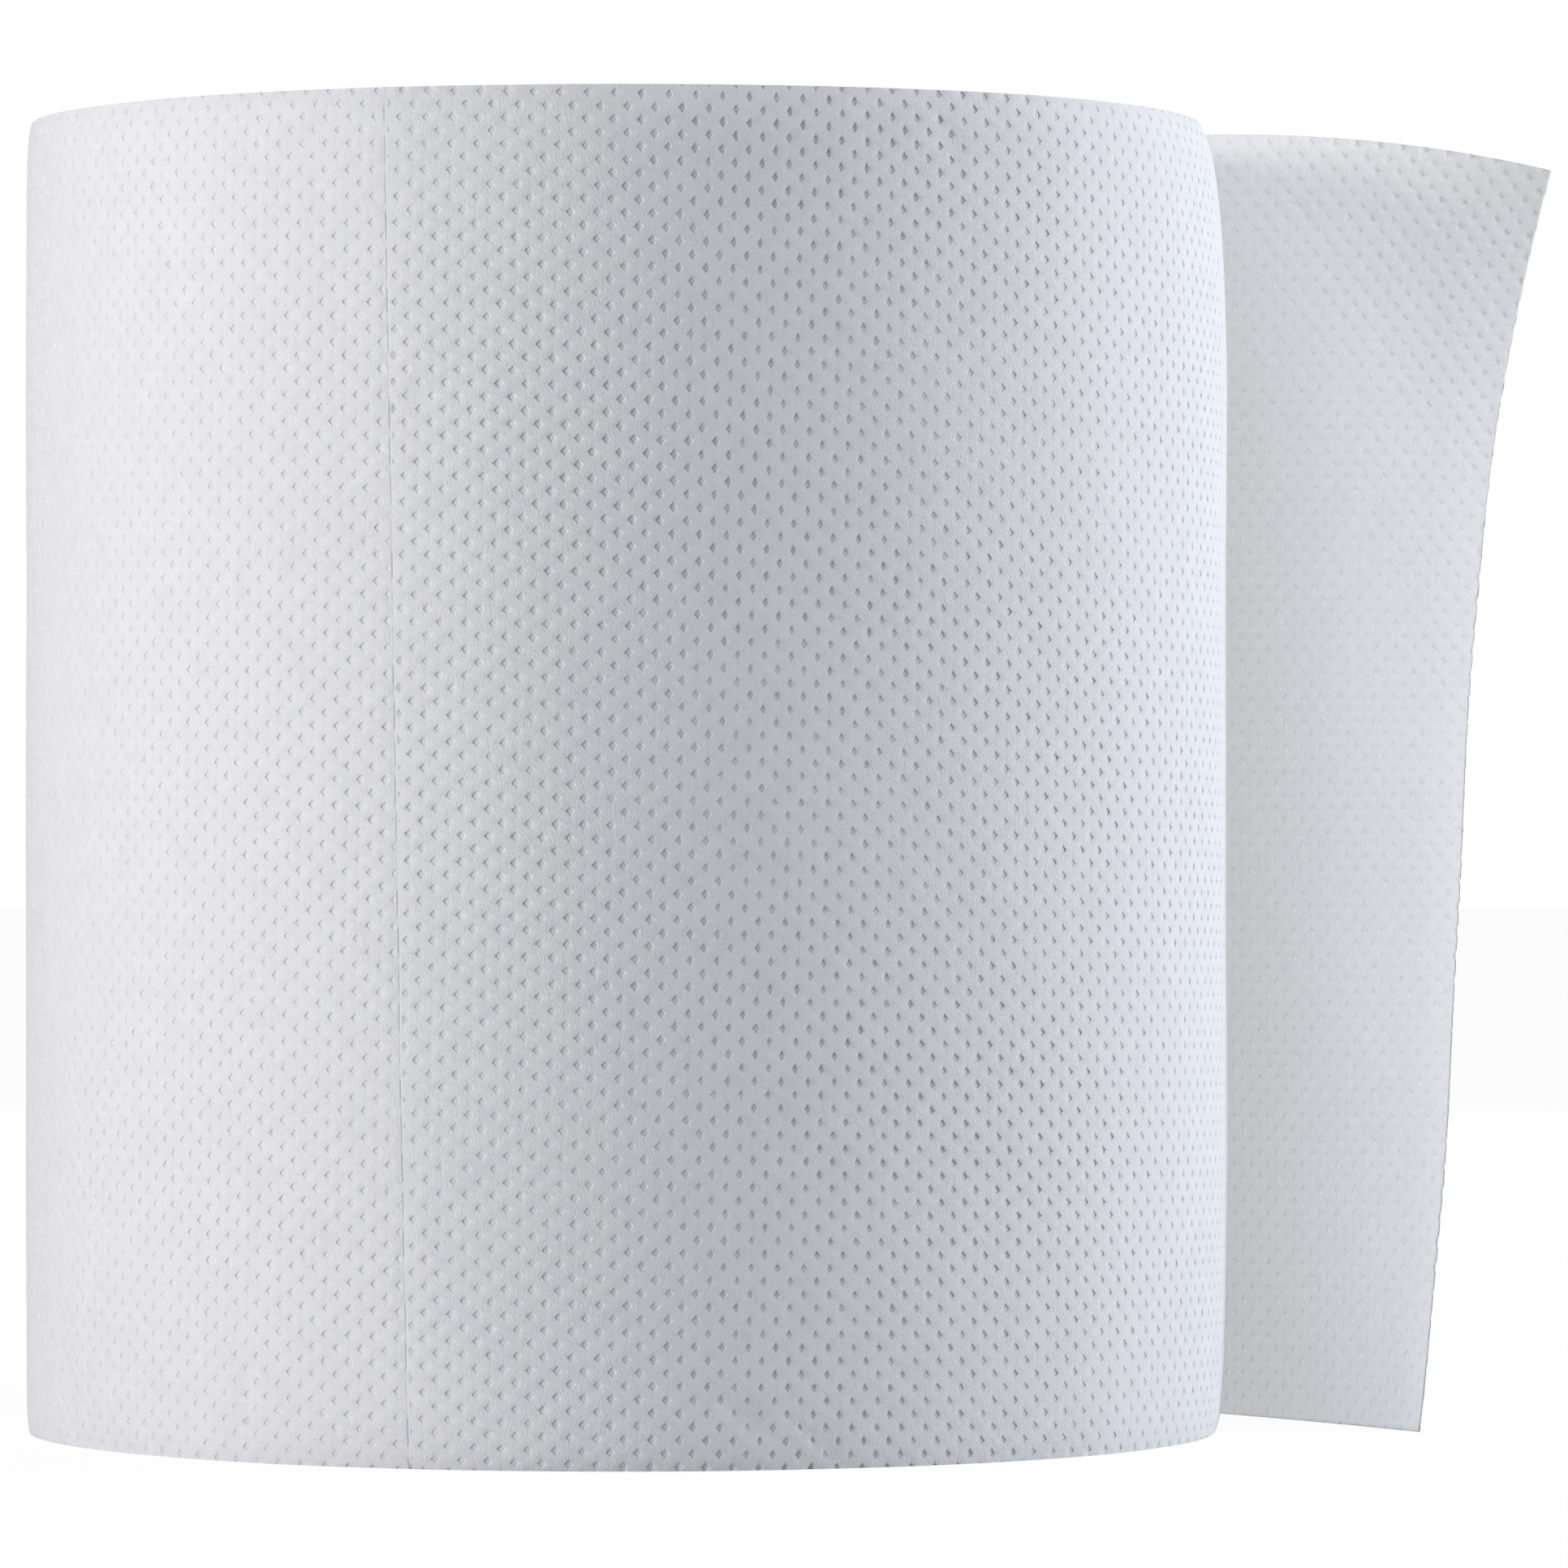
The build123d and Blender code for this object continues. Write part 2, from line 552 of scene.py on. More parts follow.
@dataclass
class Emboss:
    """The pressed pattern of small pockets, one in each cell of a leaning lattice of rhombs."""

    across: float = 3.97
    rise: float = 3.84
    lean: float = math.radians(-1.35)
    pocket: tuple[float, float] = (0.66, 0.74)
    floor_share: float = 0.80
    depth: float = 0.15
    crest: float = 0.09
    pillow: float = 0.10
    crest_size: float = 1.35
    margin: float = 9.0
    merge: float = 0.02
    variants: int = 7
    seed: int = 11
    cells: Collection | None = None

    def _tile(self, random: np.random.Generator) -> tuple[list, list, list, list]:
        """Points, faces, marks and crisp edges of one pocket and the land round it."""
        points: list[tuple[float, float, float]] = []
        marks: list[float] = []
        half = (self.across / 2.0, self.rise / 2.0)
        depth = self.depth * random.uniform(0.8, 1.2)
        crest = self.crest * random.uniform(0.6, 1.4)
        shift = random.uniform(-0.03, 0.03, 2)
        wide = random.uniform(0.93, 1.08)
        scales = (self.crest_size, wide, wide * self.floor_share)
        ring_crest, rim, floor = (tuple(size * scale for size in self.pocket) for scale in scales)
        # Each ring's last value is its mark, which darkens the colour: the compressed floor's own tone plus
        # painted shade in the pocket and on its rim.
        rings = (
            (half, self.pillow, 0.0, 0.0),
            (ring_crest, crest, 0.03, 0.0),
            (rim, 0.0, 0.025, 0.35),
            (floor, -depth, 0.025, 1.0),
        )
        for ring, (size, lift, jitter, mark) in enumerate(rings):
            corners = ((size[0], 0.0), (0.0, size[1]), (-size[0], 0.0), (0.0, -size[1]))
            for x, y in corners:
                wobble = random.uniform(-jitter, jitter, 2)
                moved = shift if ring else (0.0, 0.0)
                points.append((x + wobble[0] + moved[0], y + wobble[1] + moved[1], lift))
                marks.append(mark)
        faces = [tuple(range(12, 16))]
        for first in (0, 4, 8):
            for corner in range(4):
                after = (corner + 1) % 4
                faces.append((first + corner, first + after, first + 4 + after, first + 4 + corner))
        crisp = [(8 + corner, 8 + (corner + 1) % 4) for corner in range(4)]
        crisp += [(12 + corner, 12 + (corner + 1) % 4) for corner in range(4)]
        return points, faces, marks, crisp

    def tiles(self) -> Collection:
        """The collection of slightly different cells, made when first asked for."""
        if self.cells is None:
            random = np.random.default_rng(self.seed)
            self.cells = new_group("cells")
            for number in range(self.variants):
                points, faces, marks, crisp = self._tile(random)
                mesh = add_cell(self.cells, f"cell_{number}", points, faces, marks)
                wanted = {frozenset(pair) for pair in crisp}
                for edge in mesh.edges:
                    edge.use_edge_sharp = frozenset(edge.vertices) in wanted
        return self.cells

    def clear(self) -> None:
        """Removes the cells, once every panel is made."""
        if self.cells is not None:
            drop_group(self.cells)
            self.cells = None

    def panel(self, low: float, high: float, height: float, material: Material, seed: int) -> Mesh:
        """Fills a flat stretch of web with cells.

        Args:
            low: Where the stretch starts along the web.
            high: Where it ends.
            height: The web's width.
            material: The paper.
            seed: Picks the cells.

        Returns:
            A flat mesh in millimetres that reaches past the stretch on all sides.
        """
        turned = Vector(((low + high) / 2.0, height / 2.0, 0.0))
        cosine, sine = math.cos(-self.lean), math.sin(-self.lean)
        centre = (turned.x * cosine - turned.y * sine, turned.x * sine + turned.y * cosine)
        start = (round(centre[0] / self.across) * self.across, round(centre[1] / self.rise) * self.rise, 0.0)
        columns = 2 * math.ceil(((high - low) / 2.0 + self.margin + height * abs(sine)) / self.across) + 1
        rows = 2 * math.ceil((height / 2.0 + self.margin + (high - low) * abs(sine)) / self.rise) + 1
        tree = ShapeTree("emboss")
        count_x = tree.given("Columns", "Int", columns)
        count_y = tree.given("Rows", "Int", rows)
        across = tree.given("Across", "Float", self.across)
        rise = tree.given("Rise", "Float", self.rise)
        start_at = tree.given("Start", "Vector", start)
        lean = tree.given("Lean", "Vector", (0.0, 0.0, self.lean))
        grids = []
        for inset in (1, 2):
            sizes = {
                "Size X": (count_x - inset) * across,
                "Size Y": (count_y - inset) * rise,
                "Vertices X": count_x - (inset - 1),
                "Vertices Y": count_y - (inset - 1),
            }
            grids.append(tree.node("GeometryNodeMeshGrid", None, sizes)[0])
        lattice = tree.node("GeometryNodeJoinGeometry", None, {0: grids})[0]
        merged = tree.scatter(lattice, self.tiles(), seed, self.merge)
        moved = tree.node("GeometryNodeTransform", None, {"Geometry": merged, "Translation": start_at})[0]
        leaned = tree.node("GeometryNodeTransform", None, {"Geometry": moved, "Rotation": lean})[0]
        return tree.run(leaned, material)


@dataclass(frozen=True)
class Stretch:
    """A stretch of web between two edges, each a distance along at the foot and at the head."""

    name: str
    start: tuple[float, float]
    stop: tuple[float, float]


@dataclass
class Wraps:
    """The outermost turn, embossed, in one panel between each two perforations."""

    web: Web
    emboss: Emboss
    strip_half: float = 0.32
    fade: float = 0.55
    tuck: float = 34.0
    uneven: float = 0.22
    seed: int = 3

    def _perforation(self, number: int, offset: float) -> tuple[float, float]:
        """A perforation's place at the foot and at the head, moved along by an offset."""
        return (
            self.web.sheet_end(number, 0.0) + offset,
            self.web.sheet_end(number, self.web.height) + offset,
        )

    def stretches(self) -> list[Stretch]:
        """The panels in the order in which they are wound."""
        end = 2.0 * math.pi * self.web.radius + self.tuck
        half = self.strip_half
        return [
            Stretch("wrap_back", (0.0, 0.0), self._perforation(1, -half)),
            Stretch("wrap_left", self._perforation(1, half), self._perforation(2, -half)),
            Stretch("wrap_front", self._perforation(2, half), self._perforation(3, -half)),
            Stretch("wrap_tuck", self._perforation(3, half), (end, end)),
        ]

    def cut(self, mesh: Mesh, stretch: Stretch) -> None:
        """Cuts a flat panel along its stretch's two edges and along the web's head and foot."""
        height = self.web.height
        slope = (stretch.start[1] - stretch.start[0]) / height
        rake = (stretch.stop[1] - stretch.stop[0]) / height
        planes = (
            ((0.0, 0.0, 0.0), (0.0, -1.0, 0.0)),
            ((0.0, height, 0.0), (0.0, 1.0, 0.0)),
            ((stretch.start[0], 0.0, 0.0), (-1.0, slope, 0.0)),
            ((stretch.stop[0], 0.0, 0.0), (1.0, -rake, 0.0)),
        )
        with editing(mesh) as shell:
            for point, normal in planes:
                everything = shell.verts[:] + shell.edges[:] + shell.faces[:]
                plane = {"plane_co": point, "plane_no": normal, "clear_outer": True}
                bmesh.ops.bisect_plane(shell, geom=everything, dist=1e-4, **plane)

    def _near_edges(self, flat: Array, stretch: Stretch) -> Array:
        """0 at the stretch's two edges, so that the emboss meets the slits level, and 1 inside them."""
        share = flat[:, 1] / self.web.height
        low = flat[:, 0] - (stretch.start[0] + (stretch.start[1] - stretch.start[0]) * share)
        high = stretch.stop[0] + (stretch.stop[1] - stretch.stop[0]) * share - flat[:, 0]
        return smooth(np.minimum(low, high) / self.fade)

    def build(self, material: Material) -> list[Object]:
        """Makes every panel of the outermost turn.

        Args:
            material: The paper.

        Returns:
            One object for each panel.
        """
        made = []
        for number, stretch in enumerate(self.stretches()):
            low, high = min(stretch.start), max(stretch.stop)
            mesh = self.emboss.panel(low, high, self.web.height, material, self.seed + number)
            self.cut(mesh, stretch)
            flat = points_of(mesh)
            flat[:, 2] *= self._near_edges(flat, stretch)
            waves = np.sin(flat[:, 0] / 23.0 + flat[:, 1] / 31.0) * np.sin(flat[:, 1] / 17.0 - 1.0)
            flat[:, 2] *= 1.0 + self.uneven * waves
            move_points(mesh, self.web.place(flat))
            mesh.name = stretch.name
            made.append(add_piece(stretch.name, mesh))
        return made


@dataclass
class Perforations:
    """The lines of slits and ties between one sheet and the next."""

    web: Web
    slit: float = 4.2
    half_width: float = 0.32
    opening: float = 0.045
    shoulder: float = 0.13
    depth: float = 0.12
    lip: float = 0.02
    merge: float = 0.01
    variants: int = 5
    seed: int = 5

    def _cell(self, random: np.random.Generator) -> tuple[list, list, list]:
        """Points, faces and marks of one slit with half a tie at each end."""
        widths = (self.opening, self.shoulder, self.half_width)
        across = (*(-width for width in reversed(widths)), *widths)
        reach = self.slit / 2.0 * random.uniform(0.88, 1.05)
        half = self.web.slit_pitch / 2.0
        up = (-half, -reach, -reach + 0.25, reach - 0.25, reach, half)
        drift = random.uniform(-0.06, 0.06)
        open_share = random.choice((0.25, 0.6, 1.0))
        points, marks = [], []
        for row, y in enumerate(up):
            for column, x in enumerate(across):
                inner = row in (2, 3)
                lift, mark = 0.0, 0.0
                # Mark 1 at the slit's bottom and 0.3 at its ends darken the colour: painted shade in the
                # slit.
                if inner and column in (2, 3):
                    lift, mark = -self.depth * open_share * random.uniform(0.8, 1.2), 1.0
                elif row in (1, 4) and column in (2, 3):
                    lift, mark = -0.05, 0.3
                elif inner and column in (1, 4):
                    lift = self.lip * random.uniform(0.2, 1.8)
                side = drift if 0 < column < 5 and 0 < row < 5 else 0.0
                points.append((x + side, y, lift))
                marks.append(mark)
        faces = []
        for row in range(5):
            for column in range(5):
                first = row * 6 + column
                faces.append((first, first + 1, first + 7, first + 6))
        return points, faces, marks

    def build(self, number: int, material: Material) -> Object:
        """Makes the line of slits at one perforation.

        Args:
            number: 1 is the first perforation behind the free edge.
            material: The paper.

        Returns:
            A narrow strip between two panels.
        """
        random = np.random.default_rng(self.seed + number)
        group = new_group(f"slits_{number}")
        for variant in range(self.variants):
            add_cell(group, f"slit_{number}_{variant}", *self._cell(random))
        tree = ShapeTree("slits")
        count = tree.given("Count", "Int", math.ceil(self.web.height / self.web.slit_pitch) + 1)
        step = tree.given("Step", "Vector", (0.0, self.web.slit_pitch, 0.0))
        line = tree.node("GeometryNodeMeshLine", {"mode": "OFFSET"}, {"Count": count, "Offset": step})[0]
        mesh = tree.run(tree.scatter(line, group, self.seed, self.merge), material)
        flat = points_of(mesh)
        flat[:, 1] = np.clip(flat[:, 1], 0.0, self.web.height)
        flat[:, 0] += self.web.sheet_end(number, flat[:, 1])
        move_points(mesh, self.web.place(flat))
        drop_group(group)
        return add_piece(f"perforation_{number}", mesh)


@dataclass
class LooseEnd:
    """The free last part of the web, which hangs open and curls away at its head."""

    web: Web
    emboss: Emboss
    wraps: Wraps
    paper: float = 0.24
    shallow: float = 0.6
    overlap: float = 3.0
    stub: float = 0.1
    seed: int = 21

    def _edge_strip(self, material: Material) -> Mesh:
        """The paper's cut edge along the foot, the free edge and the head."""
        height = self.web.height
        foot, head = self.web.sheet_end(0, 0.0), self.web.sheet_end(0, height)
        corners = [(self.overlap, 0.0), (foot, 0.0), (head, height), (self.overlap, height)]
        path: list[tuple[float, float]] = []
        for (x0, y0), (x1, y1) in zip(corners, corners[1:]):
            steps = max(2, round(math.hypot(x1 - x0, y1 - y0)))
            path += [(x0 + (x1 - x0) * n / steps, y0 + (y1 - y0) * n / steps) for n in range(steps)]
        path.append(corners[-1])
        line = np.array(path)
        front = np.column_stack([line, np.zeros(len(line))])
        back = np.column_stack([line, np.full(len(line), -self.paper)])
        points = np.vstack([front, back])
        count = len(path)
        faces = [(n, n + 1, n + count + 1, n + count) for n in range(count - 1)]
        mesh = bpy.data.meshes.new("edge")
        mesh.from_pydata(points.tolist(), [], faces)
        mesh.shade_smooth()
        mesh.attributes.new("pressed", "FLOAT", "POINT")
        mesh.materials.append(material)
        return mesh

    def build(self, material: Material) -> Object:
        """Makes the loose end with both of its faces.

        Args:
            material: The paper.

        Returns:
            The loose end as one object.
        """
        height = self.web.height
        edge = (self.web.sheet_end(0, 0.0), self.web.sheet_end(0, height))
        sheets = []
        for side in Side:
            stop = 0.0 if side is Side.FACE else self.overlap
            mesh = self.emboss.panel(min(edge), self.overlap, height, material, self.seed)
            self.wraps.cut(mesh, Stretch(side.value, edge, (stop, stop)))
            flat = points_of(mesh)
            flat[:, 2] *= np.where(flat[:, 2] < 0.0, self.shallow, 1.0)
            if side is Side.REVERSE:
                flat[:, 2] -= self.paper
                mesh.flip_normals()
                for edge_line in mesh.edges:
                    edge_line.use_edge_sharp = False
            mesh.vertices.foreach_set("co", flat.astype(np.float32).ravel())
            sheets.append(mesh)
        sheets.append(self._edge_strip(material))
        joined = join_meshes("loose_end", sheets)
        flat = points_of(joined)
        from_edge = flat[:, 0] - self.web.sheet_end(0, flat[:, 1])
        phase = np.abs((flat[:, 1] / self.web.slit_pitch) % 1.0 - 0.5) * 2.0
        ties = np.clip((phase - 0.72) / 0.2, 0.0, 1.0)
        flat[:, 0] -= self.stub * ties * np.clip(1.0 - from_edge / 1.2, 0.0, 1.0)
        move_points(joined, self.web.place(flat))
        return add_piece("loose_end", joined)


@dataclass
class Turns:
    """The wound turns inside the outermost one, with their edges on both end faces."""

    web: Web
    inner: float = 30.0
    pitch: float = 1.1
    segments: int = 168
    groove: float = 0.42
    under: float = 0.75
    seed: int = 4
    wall_steps: int = 240
    wall_ends: tuple[float, ...] = (0.3, 1.0, 3.0, 7.0, 14.0, 26.0)
    wall_middle: tuple[float, ...] = (45.0, 72.5, 100.0, 127.5, 155.0)

    def _end(self, material: Material, seed: int) -> tuple[Mesh, int]:
        """A flat spiral strip with one ridge for each turn, and how many turns it has.

        Args:
            material: The paper.
            seed: Shifts the unevenness.

        Returns:
            The strip, with its length as x in turns, its width as y in turns and its lift as z.
        """
        turns = round((self.web.radius - self.inner) / self.pitch)
        tree = ShapeTree("turn_edges")
        count = tree.given("Turns", "Int", turns)
        segments = tree.given("Segments", "Int", self.segments)
        depth = tree.given("Groove", "Float", self.groove)
        shift = tree.given("Shift", "Float", float(seed) * 3.7)
        sizes = {"Size X": count, "Size Y": 1.0, "Vertices X": count * segments + 1, "Vertices Y": 3}
        strip = tree.node("GeometryNodeMeshGrid", None, sizes)[0]
        place = tree.node("GeometryNodeInputPosition")[0]
        parts = tree.node("ShaderNodeSeparateXYZ", None, {0: place})
        ridge = 1.0 - (parts[1] * 2.0).size()
        turn = parts[0] + parts[1]
        reading = {"W": turn + shift, "Scale": 1.7, "Detail": 3.0, "Roughness": 0.7}
        uneven = tree.node("ShaderNodeTexNoise", {"noise_dimensions": "1D"}, reading)[0]
        reading = {"W": turn + shift, "Scale": 0.21, "Detail": 1.0}
        slow = tree.node("ShaderNodeTexNoise", {"noise_dimensions": "1D"}, reading)[0]
        lift = ridge * depth * (uneven * 1.6) + (slow - 0.5) * 0.5
        offset = tree.node("ShaderNodeCombineXYZ", None, {"Z": lift})[0]
        raised = tree.node("GeometryNodeSetPosition", None, {"Geometry": strip, "Offset": offset})[0]
        return tree.run(raised, material), turns

    def build(self, material: Material) -> Object:
        """Makes both end faces and the hidden wall that the outermost turn lies on.

        Args:
            material: The edge-on paper.

        Returns:
            The turns as one object.
        """
        web = self.web
        meshes = []
        for top in (False, True):
            mesh, turns = self._end(material, self.seed + int(top))
            flat = points_of(mesh)
            along = flat[:, 0] + turns / 2.0
            share = (along + flat[:, 1] + 0.5) / (turns + 1.0)
            swing = (along % 1.0) * 2.0 * math.pi
            swing[along >= turns - 1e-6] = 2.0 * math.pi
            rim_up = np.full(len(flat), web.height if top else 0.0)
            rim = np.linalg.norm(web.wound(swing * web.radius, rim_up, np.zeros(len(flat)))[:, :2], axis=1)
            rim += 0.02
            radius = self.inner + share * (rim - self.inner)
            angle = web.leave_angle + swing
            lift = flat[:, 2] - flat[:, 2].max()
            roll_off = 0.5 * np.clip((share - 0.93) / 0.07, 0.0, 1.0) ** 2
            height = web.height + lift - 0.02 - roll_off if top else -lift + 0.02 + roll_off
            whole = np.column_stack([radius * np.cos(angle), radius * np.sin(angle), height])
            mesh.vertices.foreach_set("co", whole.astype(np.float32).ravel())
            if not top:
                mesh.flip_normals()
            with editing(mesh) as shell:
                bmesh.ops.remove_doubles(shell, verts=shell.verts[:], dist=0.004)
            meshes.append(mesh)
        meshes.append(self._wall(material))
        joined = join_meshes("wound_turns", meshes)
        joined.shade_smooth()
        move_points(joined, points_of(joined))
        return add_piece("wound_turns", joined)

    def _wall(self, material: Material) -> Mesh:
        """The wall under the outermost turn and the wall that lies on the core."""
        web = self.web
        steps = self.wall_steps
        heights = (*self.wall_ends, *self.wall_middle, *(web.height - up for up in reversed(self.wall_ends)))
        swing = np.linspace(0.0, 2.0 * math.pi, steps, endpoint=False)
        grid_swing, grid_up = np.meshgrid(swing * web.radius, heights)
        lift = np.full(grid_swing.size, -self.under)
        outer = web.wound(grid_swing.ravel(), grid_up.ravel(), lift)
        outer[:, 2] = grid_up.ravel()
        inner_angle = np.tile(swing, 2)
        inner_up = np.repeat([heights[0], heights[-1]], steps)
        inner_x, inner_y = self.inner * np.cos(inner_angle), self.inner * np.sin(inner_angle)
        inner = np.column_stack([inner_x, inner_y, inner_up])
        faces = ring_faces(0, steps, len(heights))
        faces += ring_faces(len(heights) * steps, steps, 2, inward=True)
        mesh = bpy.data.meshes.new("wall")
        mesh.from_pydata(np.vstack([outer, inner]).tolist(), [], faces)
        mesh.materials.append(material)
        return mesh


@dataclass
class CoreTube:
    """The cardboard core, a spiral-wound tube with a seam and slightly crushed ends."""

    outer: float = 30.0
    wall: float = 1.5
    height: float = 200.0
    strip: float = 96.0
    steps: int = 144

    def build(self, material: Material) -> Object:
        """Makes the tube.

        Args:
            material: The board.

        Returns:
            The tube as one closed object.
        """
        bore = self.outer - self.wall
        foot = [(self.outer - 0.03, 0.35), (self.outer - 0.3, 0.06), (bore + 0.3, 0.04), (bore, 0.3)]
        inside_rings = [(bore, up) for up in np.linspace(4.0, self.height - 4.0, 49)]
        head = [(radius, self.height - up) for radius, up in reversed(foot)]
        rings = foot + inside_rings + head
        points = []
        for radius, up in rings:
            for n in range(self.steps):
                angle = 2.0 * math.pi * n / self.steps
                inside = radius < bore + 0.1
                phase = (up / self.strip + angle / (2.0 * math.pi)) % 1.0
                step = 0.22 * max(0.0, 1.0 - phase / 0.035) if inside else 0.0
                crush = 0.18 * math.sin(2.0 * angle + 0.6) + 0.08 * math.sin(5.0 * angle)
                near_end = math.exp(-min(up, self.height - up) / 7.0)
                place = radius - step * 0.6 + (crush * near_end if inside else 0.0)
                points.append((place * math.cos(angle) * MM, place * math.sin(angle) * MM, up * MM))
        mesh = bpy.data.meshes.new("core_board")
        mesh.from_pydata(points, [], ring_faces(0, self.steps, len(rings), closed=True))
        mesh.materials.append(material)
        with editing(mesh) as shell:
            bmesh.ops.recalc_face_normals(shell, faces=shell.faces[:])
        mesh.shade_smooth()
        return add_piece("core_board", mesh)


@dataclass(frozen=True)
class Finish:
    """A material made from the values and signals that a subclass gives its shader."""

    name: str = "finish"

    def inputs(self, graph: Graph) -> dict[str, object]:
        """What the shader's sockets get."""
        raise NotImplementedError

    def material(self) -> Material:
        """Makes the material."""
        made = bpy.data.materials.new(self.name)
        graph = fresh_graph(made)
        shader = graph.node("ShaderNodeBsdfPrincipled", None, self.inputs(graph))[0]
        graph.node("ShaderNodeOutputMaterial", None, {"Surface": shader})
        return made


@dataclass(frozen=True)
class PaperFinish(Finish):
    """Soft bleached tissue, with fibres, a creped grain, darker pocket floors (the compressed paper's tone
    plus painted shade) and slits darkened with painted shade.
    """

    name: str = "towel_paper"
    colour: Colour = (0.855, 0.865, 0.895)
    pressed: Colour = (0.70, 0.715, 0.76)
    thin: Colour = (0.74, 0.752, 0.79)
    roughness: float = 0.92
    grain_depth: float = 0.0002
    through: float = 0.0
    through_scale: float = 0.005
    edge_on: bool = False

    def inputs(self, graph: Graph) -> dict[str, object]:
        """What the shader's sockets get."""
        place = graph.node("ShaderNodeTexCoord")[3]
        stretched = graph.node("ShaderNodeMapping", None, {"Vector": place, "Scale": (1.0, 1.0, 0.75)})[0]
        fibres = graph.noise(stretched, 3400.0, 3.0, 0.6)
        clouds = graph.noise(place, 240.0, 3.0, 0.6)
        crepe = graph.noise(stretched, 900.0, 2.0, 0.5)
        spread = graph.noise(place, 34.0, 2.0, 0.5)
        thin = (fibres * 0.45 + clouds * 0.35 + crepe * 0.2).ramp(0.62, 0.34)
        paper = graph.blend(thin * 0.55 + spread * 0.1, self.colour, self.thin)
        if self.edge_on:
            parts = graph.node("ShaderNodeSeparateXYZ", None, {0: place})
            radius = (parts[0] * parts[0] + parts[1] * parts[1]) ** 0.5
            rings = []
            for fine, swing, detail, rough in ((2100.0, 1.6, 3.0, 0.75), (160.0, 0.7, 2.0, 0.5)):
                axes = {"X": radius * fine, "Y": parts[0] / radius * swing, "Z": parts[1] / radius * swing}
                wrapped = graph.node("ShaderNodeCombineXYZ", None, axes)[0]
                rings.append(graph.noise(wrapped, 1.0, detail, rough))
            layered, banded = rings
            mask = (layered * 0.7 + banded * 0.3).ramp(0.38, 0.62)
            # The darker rings are painted shade in the gaps between the wound turns.
            colour = graph.blend((1.0 - mask) * 0.6, paper, self.pressed)
            height = layered * 0.7 + fibres * 0.3
        else:
            # Marked pocket floors, rims and slits darken towards the darker tone: partly the compressed
            # paper's own tone, partly painted shade in the recesses.
            pressed = graph.node("ShaderNodeAttribute", {"attribute_name": "pressed"})[2]
            colour = graph.blend(pressed * 0.45, paper, self.pressed)
            height = fibres * 0.75 + crepe * 0.25 + clouds * 0.3
        relief = {"Strength": 0.8, "Distance": self.grain_depth, "Height": height}
        inputs = {
            "Base Color": colour,
            "Roughness": self.roughness - thin * 0.05,
            "Normal": graph.node("ShaderNodeBump", None, relief)[0],
            "Specular IOR Level": 0.25,
            "Sheen Weight": 0.08,
            "Sheen Roughness": 0.5,
        }
        if self.through:
            inputs["Subsurface Weight"] = self.through
            inputs["Subsurface Radius"] = (1.0, 1.0, 1.0)
            inputs["Subsurface Scale"] = self.through_scale
        return inputs


@dataclass(frozen=True)
class BoardFinish(Finish):
    """Grey-brown recycled board, wound in a helix with a visible seam."""

    name: str = "core_board"
    colour: Colour = (0.50, 0.41, 0.30)
    dark: Colour = (0.36, 0.285, 0.20)
    pale: Colour = (0.62, 0.54, 0.42)
    strip: float = 0.096

    def inputs(self, graph: Graph) -> dict[str, object]:
        """What the shader's sockets get."""
        place = graph.node("ShaderNodeTexCoord")[3]
        parts = graph.node("ShaderNodeSeparateXYZ", None, {0: place})
        angle = graph.node("ShaderNodeMath", {"operation": "ARCTAN2"}, {0: parts[1], 1: parts[0]})[0]
        phase = (parts[2] / self.strip + angle / (2.0 * math.pi) + 4.0).fraction()
        seam = (phase - 0.5).size().ramp(0.475, 0.497)
        fibres = graph.noise(place, 1500.0, 4.0, 0.65)
        clouds = graph.noise(place, 130.0, 3.0, 0.6)
        flecks = graph.noise(place, 620.0, 1.0, 0.5).ramp(0.66, 0.74)
        base = graph.blend((fibres * 0.5 + clouds * 0.5).ramp(0.35, 0.65), self.dark, self.colour)
        worn = graph.blend(flecks * 0.6, base, self.pale)
        colour = graph.blend(seam * 0.55, worn, self.dark)
        height = fibres * 0.6 + clouds * 0.4 - seam * 0.8
        bump = graph.node("ShaderNodeBump", None, {"Strength": 0.7, "Distance": 0.00012, "Height": height})[0]
        rough = 0.82 + fibres * 0.1
        return {"Base Color": colour, "Roughness": rough, "Normal": bump, "Specular IOR Level": 0.3}


@dataclass(frozen=True)
class Softbox:
    """One soft lamp, round the roll at an angle from the camera's side and at a height, in metres."""

    name: str
    azimuth: float
    distance: float
    height: float
    width: float
    length: float
    watts: float
    colour: Colour = (1.0, 1.0, 1.0)


